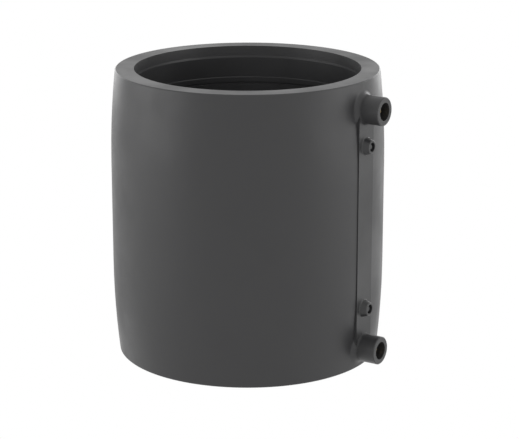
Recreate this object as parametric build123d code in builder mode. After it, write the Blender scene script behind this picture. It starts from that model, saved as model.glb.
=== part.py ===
"""Electrofusion coupler for 125 mm polyethylene pipe.

A moulded PE sleeve joins two pipe ends. Its wall holds one resistance wire, wound in two zones.
A current through the two terminal pins melts the bore onto the pipes, and the melt then pushes
out the two indicator pins. The sleeve stands on its lower end face: the origin is on the bore
axis in that face, +Z runs up the bore and +X points out through the terminals.
"""

import math
import os

from build123d import *

# Sleeve, in millimetres
pipe_diameter = 125.0
bore_clearance = 1.2
wall_at_middle = 14.4
length = 164.0
straight_length = 57.4
belly = 3.0
outer_edge_chamfer = 0.5

# Bore, each from the mouth inwards
mouth_flare = 0.75
entry_depth = 5.7
entry_step = 0.3
entry_ramp = 1.2
guide_depth = 18.4
guide_step = 0.1
guide_ramp = 0.4
groove_start = 21.5
groove_width = 1.2
groove_depth = 0.6
relief_length = 32.0
relief_depth = 0.7

# Pipe stops at mid length
lug_count = 4
lug_width = 9.0
lug_height = 3.5
lug_thickness = 3.0
lug_corner_radius = 1.0
lug_root = 1.0

# Heating wire, moulded into the wall under a thin skin
wire_size = 0.9
wire_skin = 1.1
lead_size = 1.2
winding_depth = 24.0
winding_length = 36.0
winding_turns = 6

# Terminals: a shroud of the sleeve's own material around a 4 mm brass pin
lower_terminal_depth = 12.4
upper_terminal_depth = 14.9
shroud_reach = 11.2
shroud_diameter = 15.8
shroud_bore = 10.0
shroud_bore_depth = 13.0
shroud_draft = 0.35
shroud_blend = 3.0
shroud_edge_chamfer = 0.4
pin_diameter = 4.0
pin_recess = 3.2
pin_tip_chamfer = 0.5
collar_diameter = 6.0
collar_height = 1.0
shank_diameter = 5.0
shank_length = 6.0
shank_groove_count = 2
shank_groove_width = 1.2
shank_groove_depth = 0.4
tail_diameter = 2.4

# Flat strip between the terminals, with the two indicator bosses on it
strip_width = 15.4
strip_rise = 0.1
strip_inset = 8.0

# Fusion indicators
indicator_depth = 35.5
boss_base_diameter = 10.0
boss_tip_diameter = 7.4
boss_height = 3.8
boss_blend = 0.8
boss_edge_chamfer = 0.3
recess_diameter = 5.2
recess_depth = 2.6
indicator_diameter = 3.4
indicator_clearance = 0.04
indicator_below_tip = 0.9
indicator_tip_chamfer = 0.4
indicator_floor = 2.0

# Worked out from the sizes above
bore_radius = (pipe_diameter + bore_clearance) / 2
middle_radius = bore_radius + wall_at_middle
end_radius = middle_radius - belly
relief_radius = bore_radius + relief_depth
straight_start = (length - straight_length) / 2
strip_face = middle_radius + strip_rise
shroud_face = middle_radius + shroud_reach
cup_floor = shroud_face - shroud_bore_depth
boss_face = strip_face + boss_height
wire_radius = bore_radius + wire_skin + wire_size / 2
wire_outside = wire_radius + lead_size / 2
indicator_seat = wire_outside + indicator_floor
indicator_tip = boss_face - indicator_below_tip
terminal_heights = (lower_terminal_depth, length - upper_terminal_depth)
indicator_heights = (indicator_depth, length - indicator_depth)
winding_starts = (winding_depth, length - winding_depth - winding_length)


def bore_points():
    """(radius, depth) down the bore, from a mouth to the relief at mid length."""
    guide_radius = bore_radius + guide_step
    groove_radius = bore_radius + groove_depth
    relief_start = (length - relief_length) / 2
    return [
        (bore_radius + mouth_flare, 0),
        (bore_radius + entry_step, entry_depth),
        (guide_radius, entry_depth + entry_ramp),
        (guide_radius, guide_depth),
        (bore_radius, guide_depth + guide_ramp),
        (bore_radius, groove_start),
        (groove_radius, groove_start),
        (groove_radius, groove_start + groove_width),
        (bore_radius, groove_start + groove_width),
        (bore_radius, relief_start),
        (relief_radius, relief_start),
    ]


def pin_points():
    """(distance from the bore axis, radius) of a terminal pin, from its tail out to its tip."""
    tip = shroud_face - pin_recess
    shank = shank_diameter / 2
    neck = shank - shank_groove_depth
    start = cup_floor - shank_length
    land = (shank_length - shank_groove_count * shank_groove_width) / (shank_groove_count + 1)
    points = [(wire_outside, 0), (wire_outside, tail_diameter / 2), (start, tail_diameter / 2)]
    points.append((start, shank))
    for _ in range(shank_groove_count):
        groove = start + land
        points += [(groove, shank), (groove, neck)]
        start = groove + shank_groove_width
        points += [(start, neck), (start, shank)]
    points += [(cup_floor, shank), (cup_floor, collar_diameter / 2)]
    points.append((cup_floor + collar_height, collar_diameter / 2))
    points.append((cup_floor + collar_height, pin_diameter / 2))
    points.append((tip - pin_tip_chamfer, pin_diameter / 2))
    points += [(tip, pin_diameter / 2 - pin_tip_chamfer), (tip, 0)]
    return points


def shroud_points():
    """(distance from the bore axis, radius) of a terminal shroud, from its root out to its mouth."""
    root = wire_outside + shroud_blend
    mouth = shroud_diameter / 2
    draft = (shroud_face - root) * math.tan(math.radians(shroud_draft))
    return [
        (root, 0),
        (root, mouth + draft),
        (shroud_face - shroud_edge_chamfer, mouth),
        (shroud_face, mouth - shroud_edge_chamfer),
        (shroud_face, 0),
    ]


def facing_out(distance, height):
    """Plane across the terminal direction, facing away from the bore axis."""
    return Plane(origin=(distance, 0, height), x_dir=(0, 1, 0), z_dir=(1, 0, 0))


# Terminal pins, turned about their own axis: a tail that meets the wire, a grooved shank that
# the plastic grips, a collar on the floor of the shroud, and the 4 mm contact
def turned_pin(height):
    with BuildPart() as pin:
        with BuildSketch(Plane.XZ):
            with BuildLine():
                Polyline(*pin_points(), close=True)
            make_face()
        revolve(axis=Axis.X)
    return pin.part.moved(Location((0, 0, height)))


with BuildPart() as terminal_pin_lower:
    add(turned_pin(terminal_heights[0]))

with BuildPart() as terminal_pin_upper:
    add(turned_pin(terminal_heights[1]))

# Heating wire: two helical windings of square wire, a lead from each terminal to its winding,
# and one lead across the middle. The leads are twisted double, so they are thicker and heat less.
with BuildPart() as heating_wire:
    for start in winding_starts:
        with BuildLine() as turns:
            Helix(winding_length / winding_turns, winding_length, wire_radius, center=(0, 0, start))
        coil = turns.edge()
        with BuildSketch(Plane(origin=coil @ 0, x_dir=(1, 0, 0), z_dir=coil % 0)) as wire_section:
            Rectangle(wire_size, wire_size)
        sweep(sections=wire_section.sketch, path=coil, is_frenet=True)
    winding_ends = [start + winding_length for start in winding_starts]
    for bottom, top in (
        (terminal_heights[0] - wire_size / 2, winding_starts[0] + wire_size),
        (winding_ends[0] - wire_size, winding_starts[1] + wire_size),
        (winding_ends[1] - wire_size, terminal_heights[1] + wire_size / 2),
    ):
        with BuildSketch(Plane.XY.offset(bottom)):
            with Locations((wire_radius, 0)):
                Rectangle(lead_size, lead_size)
        extrude(amount=top - bottom)

# Sleeve: a barrel turned about the bore axis
lower_bore = bore_points()
upper_bore = [(radius, length - depth) for radius, depth in reversed(lower_bore)]
with BuildPart() as coupler_body:
    with BuildSketch(Plane.XZ) as half_section:
        with BuildLine():
            Polyline(*lower_bore, *upper_bore)
            Line(upper_bore[-1], (end_radius, length))
            side = Line((middle_radius, length - straight_start), (middle_radius, straight_start))
            TangentArc(side @ 1, (end_radius, 0), tangent=(0, -1))
            TangentArc(side @ 0, (end_radius, length), tangent=(0, 1))
            Line((end_radius, 0), lower_bore[0])
        make_face()
        rim_corners = half_section.vertices().group_by(Axis.X)[-2]
        chamfer(rim_corners, outer_edge_chamfer)
    revolve(axis=Axis.Z)

    # Terminal shrouds, which run into the barrel with a wide fillet
    for height in terminal_heights:
        with BuildSketch(Plane(origin=(0, 0, height), x_dir=(1, 0, 0), z_dir=(0, -1, 0))):
            with BuildLine():
                Polyline(*shroud_points(), close=True)
            make_face()
        revolve(axis=Axis((0, 0, height), (1, 0, 0)))
        roots = coupler_body.edges().filter_by(GeomType.BSPLINE)
        roots = roots.filter_by_position(Axis.X, middle_radius - belly, middle_radius)
        roots = roots.filter_by_position(Axis.Z, height - shroud_blend, height + shroud_blend)
        fillet(roots, shroud_blend)

    # Flat strip from shroud to shroud
    strip_base = middle_radius - strip_inset
    with BuildSketch(facing_out(strip_base, sum(terminal_heights) / 2)):
        Rectangle(strip_width, terminal_heights[1] - terminal_heights[0])
    extrude(amount=strip_face - strip_base)

    # Indicator bosses
    for height in indicator_heights:
        with Locations(facing_out(strip_face, height)):
            Cone(
                boss_base_diameter / 2,
                boss_tip_diameter / 2,
                boss_height,
                align=(Align.CENTER, Align.CENTER, Align.MIN),
            )
    boss_rings = coupler_body.edges().filter_by(GeomType.CIRCLE)
    chamfer(
        boss_rings.filter_by(lambda ring: abs(ring.center().X - boss_face) < boss_edge_chamfer),
        boss_edge_chamfer,
    )
    boss_rings = coupler_body.edges().filter_by(GeomType.CIRCLE)
    boss_rings = boss_rings.filter_by(lambda ring: abs(ring.radius - boss_base_diameter / 2) < 0.01)
    fillet(boss_rings, boss_blend)

    # Shroud bores, with the pin seats below them
    for height in terminal_heights:
        with Locations(facing_out(cup_floor, height)):
            Cylinder(
                shroud_bore / 2,
                shroud_bore_depth,
                align=(Align.CENTER, Align.CENTER, Align.MIN),
                mode=Mode.SUBTRACT,
            )
    add(terminal_pin_lower.part, mode=Mode.SUBTRACT)
    add(terminal_pin_upper.part, mode=Mode.SUBTRACT)

    # Indicator holes: a wide recess in the boss, then the pin's blind guide over the winding
    for height in indicator_heights:
        for diameter, floor in (
            (recess_diameter, boss_face - recess_depth),
            (indicator_diameter + 2 * indicator_clearance, indicator_seat),
        ):
            with BuildSketch(facing_out(boss_face, height)):
                Circle(diameter / 2)
            extrude(amount=floor - boss_face, mode=Mode.SUBTRACT)

    # Pipe stops
    lug_base = (length - lug_thickness) / 2
    with BuildSketch(Plane.XY.offset(lug_base)):
        with PolarLocations(relief_radius + lug_root - lug_height / 2, lug_count, 45):
            RectangleRounded(lug_height + lug_root, lug_width, lug_corner_radius)
    extrude(amount=lug_thickness)


# Indicator pins, their tips below the boss until the melt lifts them
with BuildPart() as indicator_lower:
    with BuildSketch(facing_out(indicator_seat, indicator_heights[0])):
        Circle(indicator_diameter / 2)
    extrude(amount=indicator_tip - indicator_seat)
    chamfer(indicator_lower.faces().sort_by(Axis.X)[-1].edges(), indicator_tip_chamfer)

with BuildPart() as indicator_upper:
    with BuildSketch(facing_out(indicator_seat, indicator_heights[1])):
        Circle(indicator_diameter / 2)
    extrude(amount=indicator_tip - indicator_seat)
    chamfer(indicator_upper.faces().sort_by(Axis.X)[-1].edges(), indicator_tip_chamfer)

os.makedirs("parts", exist_ok=True)
coupler_body.part.label = "coupler_body"
heating_wire.part.label = "heating_wire"
terminal_pin_lower.part.label = "terminal_pin_lower"
terminal_pin_upper.part.label = "terminal_pin_upper"
indicator_lower.part.label = "indicator_lower"
indicator_upper.part.label = "indicator_upper"
export_step(coupler_body.part, "parts/coupler_body.step")
export_step(heating_wire.part, "parts/heating_wire.step")
export_step(terminal_pin_lower.part, "parts/terminal_pin_lower.step")
export_step(terminal_pin_upper.part, "parts/terminal_pin_upper.step")
export_step(indicator_lower.part, "parts/indicator_lower.step")
export_step(indicator_upper.part, "parts/indicator_upper.step")
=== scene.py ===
# %% [markdown]
# # A black polyethylene coupler in a white studio
#
# The CAD model already has every shape in this scene. What is left is what makes a part look
# real: where the camera stands, how soft light falls across black plastic, and materials
# that carry the small marks of moulding. This lesson takes those three in turn.

import math

import bpy
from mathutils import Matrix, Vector


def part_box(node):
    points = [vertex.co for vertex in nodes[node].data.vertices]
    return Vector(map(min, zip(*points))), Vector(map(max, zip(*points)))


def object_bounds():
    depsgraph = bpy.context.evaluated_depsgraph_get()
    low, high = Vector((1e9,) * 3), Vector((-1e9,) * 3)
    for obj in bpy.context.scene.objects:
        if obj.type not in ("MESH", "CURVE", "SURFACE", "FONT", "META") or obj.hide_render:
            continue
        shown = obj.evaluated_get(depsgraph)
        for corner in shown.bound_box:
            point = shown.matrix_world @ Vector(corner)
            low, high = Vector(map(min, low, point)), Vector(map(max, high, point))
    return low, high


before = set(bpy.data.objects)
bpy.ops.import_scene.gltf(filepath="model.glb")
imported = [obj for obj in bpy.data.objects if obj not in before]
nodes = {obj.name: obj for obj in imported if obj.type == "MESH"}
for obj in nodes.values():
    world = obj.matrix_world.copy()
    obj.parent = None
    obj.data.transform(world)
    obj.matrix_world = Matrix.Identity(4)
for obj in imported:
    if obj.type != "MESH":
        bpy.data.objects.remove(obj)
cad_low, cad_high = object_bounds()
scene = bpy.context.scene
print("nodes:", sorted(nodes))
print("box in mm:", [round(1000 * v) for v in cad_high - cad_low])

# %% [markdown]
# ## What the model says about itself
#
# The camera, the floor and the lamps are placed and sized from the model's boxes. The coupler
# stands on its end, so its height is its length, and half its width across Y is the radius of
# the barrel. The terminals point along X, so they don't disturb that.

# %% Measure the coupler
body_low, body_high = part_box("coupler_body")
length = body_high.z - body_low.z
barrel_radius = body_high.y
middle = Vector((0, 0, length / 2))
print("length, radius in mm:", round(1000 * length, 1), round(1000 * barrel_radius, 1))

# %% [markdown]
# ## Directions
#
# The camera and the lamps all stand round the coupler and look at it, so one helper turns two
# angles into a direction. A turn of 0 is straight in front, on the -Y side.


# %% Turn angles into a direction
def outward(turn, rise):
    """The unit vector away from the coupler at a turn and a rise in degrees."""
    a, e = math.radians(turn), math.radians(rise)
    return Vector((math.sin(a) * math.cos(e), -math.cos(a) * math.cos(e), math.sin(e)))


print("a turn of 90 looks out along:", [round(v) for v in outward(90, 0)])

# %% [markdown]
# ## The camera
#
# A product camera stands well back with a long lens, which keeps the two ends of the barrel
# nearly the same width. This one is about seven lengths away and a little above, turned so
# that the terminals sit on the right-hand edge, where they show against white. It is aimed at
# the middle of the coupler and then turned a touch, which moves the coupler off centre.

# %% Place the camera
camera_turn = 33.5
camera_rise = 15.543
camera_distance = 14.273 * barrel_radius
sensor_mm = 36
lens_mm = 133.75
aim_right_radians = 0.0060
aim_down_radians = 0.0062

camera = bpy.data.objects.new("camera", bpy.data.cameras.new("camera"))
bpy.context.collection.objects.link(camera)
scene.camera = camera
camera.data.sensor_width = sensor_mm
camera.data.lens = lens_mm

towards_camera = outward(camera_turn, camera_rise)
camera.location = middle + camera_distance * towards_camera
ahead = -towards_camera
right = ahead.cross(Vector((0, 0, 1))).normalized()
up = right.cross(ahead)
sight = ahead + math.tan(aim_right_radians) * right - math.tan(aim_down_radians) * up
camera.rotation_mode = "QUATERNION"
camera.rotation_quaternion = sight.to_track_quat("-Z", "Y")
print("camera at:", [round(v, 3) for v in camera.location])

# %% [markdown]
# ## Telling rays apart
#
# The camera should see a pure white world, and so should reflections, because the sheen on
# black plastic is nearly all reflection. The soft light that the world casts can be dimmer.
# `Light Path` tells these rays apart. The world and the floor both need that, so it is a
# small node group.


# %% Mark the rays that see white
def new_node(tree, kind, **settings):
    """Adds a shader node and sets its sockets by name."""
    node = tree.nodes.new(kind)
    for name, value in settings.items():
        node.inputs[name.replace("_", " ")].default_value = value
    return node


sight_rays = bpy.data.node_groups.new("sight_rays", "ShaderNodeTree")
sight_rays.interface.new_socket("Seen", in_out="OUTPUT", socket_type="NodeSocketFloat")
path = sight_rays.nodes.new("ShaderNodeLightPath")
sight_out = sight_rays.nodes.new("NodeGroupOutput")
seen_so_far = path.outputs["Is Camera Ray"]
for ray in ("Is Glossy Ray", "Is Transmission Ray"):
    either = sight_rays.nodes.new("ShaderNodeMath")
    either.operation = "MAXIMUM"
    sight_rays.links.new(seen_so_far, either.inputs[0])
    sight_rays.links.new(path.outputs[ray], either.inputs[1])
    seen_so_far = either.outputs["Value"]
sight_rays.links.new(seen_so_far, sight_out.inputs["Seen"])
print("ray group nodes:", len(sight_rays.nodes))


# %% Mix by the kind of ray
def white_when_seen(tree, lit, white, surface):
    """Shows the white shader to the camera and to reflections, and the lit one to all else."""
    rays = tree.nodes.new("ShaderNodeGroup")
    rays.node_tree = sight_rays
    mix = tree.nodes.new("ShaderNodeMixShader")
    tree.links.new(rays.outputs["Seen"], mix.inputs["Fac"])
    tree.links.new(lit.outputs[0], mix.inputs[1])
    tree.links.new(white.outputs[0], mix.inputs[2])
    tree.links.new(mix.outputs["Shader"], surface.inputs["Surface"])


# %% [markdown]
# ## A white world that doesn't wash out the object
#
# A white background usually means that white light pours in from all sides, and black plastic
# turns grey. Here the world that is seen and the world that lights are two shaders, and the
# second is a quarter dimmer.

# %% Build the world
white = (1, 1, 1, 1)
fill_strength = 0.75

world = bpy.data.worlds.new("studio")
scene.world = world
world.use_nodes = True
sky = world.node_tree
sky.nodes.clear()
seen = new_node(sky, "ShaderNodeBackground", Color=white, Strength=1.0)
fill = new_node(sky, "ShaderNodeBackground", Color=white, Strength=fill_strength)
white_when_seen(sky, fill, seen, sky.nodes.new("ShaderNodeOutputWorld"))
scene.view_settings.view_transform = "Standard"
print("view transform:", scene.view_settings.view_transform)

# %% [markdown]
# ## The floor
#
# The floor is a wide disc just under the coupler. Seen directly or in a reflection it is as
# white as the world, so no horizon shows. To all other light it is a pale matt surface that
# bounces some of it back up onto the barrel.

# %% Lay the floor
floor_radius = 12 * length
floor_corners = 96
floor_grey = 0.82

bpy.ops.mesh.primitive_circle_add(
    vertices=floor_corners, radius=floor_radius, fill_type="NGON", location=(0, 0, cad_low.z)
)
floor = bpy.context.object
floor.name = "floor"

floor_material = bpy.data.materials.new("pale_floor")
floor_material.use_nodes = True
floor_tree = floor_material.node_tree
floor_tree.nodes.clear()
matt = new_node(floor_tree, "ShaderNodeBsdfDiffuse", Color=(floor_grey, floor_grey, floor_grey, 1))
glow = new_node(floor_tree, "ShaderNodeEmission", Color=white, Strength=1.0)
white_when_seen(floor_tree, matt, glow, floor_tree.nodes.new("ShaderNodeOutputMaterial"))
floor.data.materials.append(floor_material)
print("floor radius in m:", round(floor_radius, 2))

# %% [markdown]
# ## Softboxes
#
# Black plastic is drawn by what it reflects. Two broad softboxes stand level with the coupler,
# one on each side of the camera's view, so that the sides of the barrel are lighter than its
# front. Two smaller ones stand behind, raised a little, for the outermost edges. The turns in
# the list are counted from the camera, so the lamps follow if the camera is moved.


# %% Set up the softboxes
def softbox(name, turn, rise, width, height, power):
    """An area lamp that faces the middle of the coupler from a turn and a rise in degrees."""
    lamp = bpy.data.lights.new(name, "AREA")
    lamp.shape = "RECTANGLE"
    lamp.size, lamp.size_y = width, height
    lamp.energy = power
    lamp_object = bpy.data.objects.new(name, lamp)
    bpy.context.collection.objects.link(lamp_object)
    away = outward(turn, rise)
    lamp_object.location = middle + softbox_distance * away
    lamp_object.rotation_mode = "QUATERNION"
    lamp_object.rotation_quaternion = (-away).to_track_quat("-Z", "Y")


softbox_distance = 6 * length
for name, turn_from_camera, rise, width, height, power in (
    ("left_box", -80, 0, 5 * length, 4 * length, 3.6),
    ("right_box", 80, 0, 5 * length, 4 * length, 2.8),
    ("back_left_box", -150, 8, 3 * length, 3 * length, 1.5),
    ("back_right_box", 150, 8, 3 * length, 3 * length, 2.0),
):
    softbox(name, camera_turn + turn_from_camera, rise, width, height, power)

# %% [markdown]
# ## Moulded plastic
#
# Injection-moulded polyethylene is never quite even. It has a fine grain from the mould, slow
# ripples where it shrank, and faint scuffs from handling. One node group gives the grain and
# the ripples as a bumped normal, and the ripples alone as a number, which the material turns
# into duller and shinier places. Each plastic then has its own share of them.

# %% Start the grain group
grain = bpy.data.node_groups.new("moulded_grain", "ShaderNodeTree")
for name, start in (("Grain Size", 900.0), ("Ripple Size", 28.0), ("Depth", 0.15)):
    socket = grain.interface.new_socket(name, in_out="INPUT", socket_type="NodeSocketFloat")
    socket.default_value = start
grain.interface.new_socket("Normal", in_out="OUTPUT", socket_type="NodeSocketVector")
grain.interface.new_socket("Unevenness", in_out="OUTPUT", socket_type="NodeSocketFloat")
print("group sockets:", [s.name for s in grain.interface.items_tree])

# %% Fill the grain group
grain_share = 0.25

group_in = grain.nodes.new("NodeGroupInput")
group_out = grain.nodes.new("NodeGroupOutput")
place = grain.nodes.new("ShaderNodeTexCoord")
fine = new_node(grain, "ShaderNodeTexNoise", Detail=3.0, Roughness=0.6)
slow = new_node(grain, "ShaderNodeTexNoise", Detail=4.0, Roughness=0.55)
heights = grain.nodes.new("ShaderNodeMath")
heights.operation = "MULTIPLY_ADD"
heights.inputs[1].default_value = grain_share
bump = new_node(grain, "ShaderNodeBump", Distance=0.0004)
for start, end in (
    (place.outputs["Object"], fine.inputs["Vector"]),
    (place.outputs["Object"], slow.inputs["Vector"]),
    (group_in.outputs["Grain Size"], fine.inputs["Scale"]),
    (group_in.outputs["Ripple Size"], slow.inputs["Scale"]),
    (fine.outputs["Fac"], heights.inputs[0]),
    (slow.outputs["Fac"], heights.inputs[2]),
    (heights.outputs["Value"], bump.inputs["Height"]),
    (group_in.outputs["Depth"], bump.inputs["Strength"]),
    (bump.outputs["Normal"], group_out.inputs["Normal"]),
    (slow.outputs["Fac"], group_out.inputs["Unevenness"]),
):
    grain.links.new(start, end)
print("group links:", len(grain.links))


# %% Make the plastics
def plastic(name, shade, roughness, depth, scuff):
    """Moulded plastic whose roughness wanders by the scuff with its unevenness."""
    coolness = 1.04
    material = bpy.data.materials.new(name)
    material.use_nodes = True
    tree = material.node_tree
    bsdf = tree.nodes["Principled BSDF"]
    bsdf.inputs["Base Color"].default_value = (shade, shade, coolness * shade, 1)
    bsdf.inputs["IOR"].default_value = 1.51
    surface = tree.nodes.new("ShaderNodeGroup")
    surface.node_tree = grain
    surface.inputs["Depth"].default_value = depth
    wander = new_node(tree, "ShaderNodeMapRange", From_Min=0.2, From_Max=0.8)
    wander.interpolation_type = "SMOOTHSTEP"
    wander.inputs["To Min"].default_value = roughness - scuff
    wander.inputs["To Max"].default_value = roughness + scuff
    tree.links.new(surface.outputs["Unevenness"], wander.inputs["Value"])
    tree.links.new(wander.outputs["Result"], bsdf.inputs["Roughness"])
    tree.links.new(surface.outputs["Normal"], bsdf.inputs["Normal"])
    return material


def dress(node, material):
    """Gives a CAD node one material in place of those it came with."""
    piece = nodes[node]
    piece.data.materials.clear()
    piece.data.materials.append(material)


dress("coupler_body", plastic("black_polyethylene", 0.028, 0.42, 0.3, scuff=0.1))
rod_plastic = plastic("indicator_rod", 0.045, 0.5, 0.2, scuff=0.08)
for rod in ("indicator_upper", "indicator_lower"):
    dress(rod, rod_plastic)
print("plastic pieces dressed")

# %% [markdown]
# ## Brass and resistance wire
#
# The terminal pins are turned, so a shallow bump leaves fine rings round the pin's axis, which
# is X. Patches of bloom change the colour and the roughness a little. The wire is hidden in
# the wall, but it still gets the metal it is made of.


# %% Make the metals
def turned_metal(name, colour, roughness, ring_scale):
    """Metal with turning rings along X, and a dull bloom in patches."""
    bloom_shade = 0.6
    shinier, duller = 0.08, 0.12
    material = bpy.data.materials.new(name)
    material.use_nodes = True
    tree = material.node_tree
    bsdf = tree.nodes["Principled BSDF"]
    bsdf.inputs["Metallic"].default_value = 1.0
    place = tree.nodes.new("ShaderNodeTexCoord")
    rings = new_node(tree, "ShaderNodeTexWave", Scale=ring_scale, Distortion=0.4)
    rings.bands_direction = "X"
    patches = new_node(tree, "ShaderNodeTexNoise", Scale=260.0, Detail=3.0)
    tint = tree.nodes.new("ShaderNodeMix")
    tint.data_type = "RGBA"
    tint.inputs["A"].default_value = (*colour, 1)
    tint.inputs["B"].default_value = (*(bloom_shade * c for c in colour), 1)
    bump = new_node(tree, "ShaderNodeBump", Strength=0.2, Distance=0.0001)
    dulling = new_node(tree, "ShaderNodeMapRange")
    dulling.inputs["To Min"].default_value = roughness - shinier
    dulling.inputs["To Max"].default_value = roughness + duller
    tree.links.new(place.outputs["Object"], rings.inputs["Vector"])
    tree.links.new(place.outputs["Object"], patches.inputs["Vector"])
    tree.links.new(patches.outputs["Fac"], tint.inputs["Factor"])
    tree.links.new(patches.outputs["Fac"], dulling.inputs["Value"])
    tree.links.new(rings.outputs["Fac"], bump.inputs["Height"])
    tree.links.new(tint.outputs["Result"], bsdf.inputs["Base Color"])
    tree.links.new(dulling.outputs["Result"], bsdf.inputs["Roughness"])
    tree.links.new(bump.outputs["Normal"], bsdf.inputs["Normal"])
    return material


brass = turned_metal("turned_brass", (0.76, 0.58, 0.28), 0.3, ring_scale=250.0)
for pin in ("terminal_pin_upper", "terminal_pin_lower"):
    dress(pin, brass)
dress("heating_wire", turned_metal("resistance_wire", (0.62, 0.52, 0.42), 0.35, ring_scale=50.0))
print("metal pieces dressed")
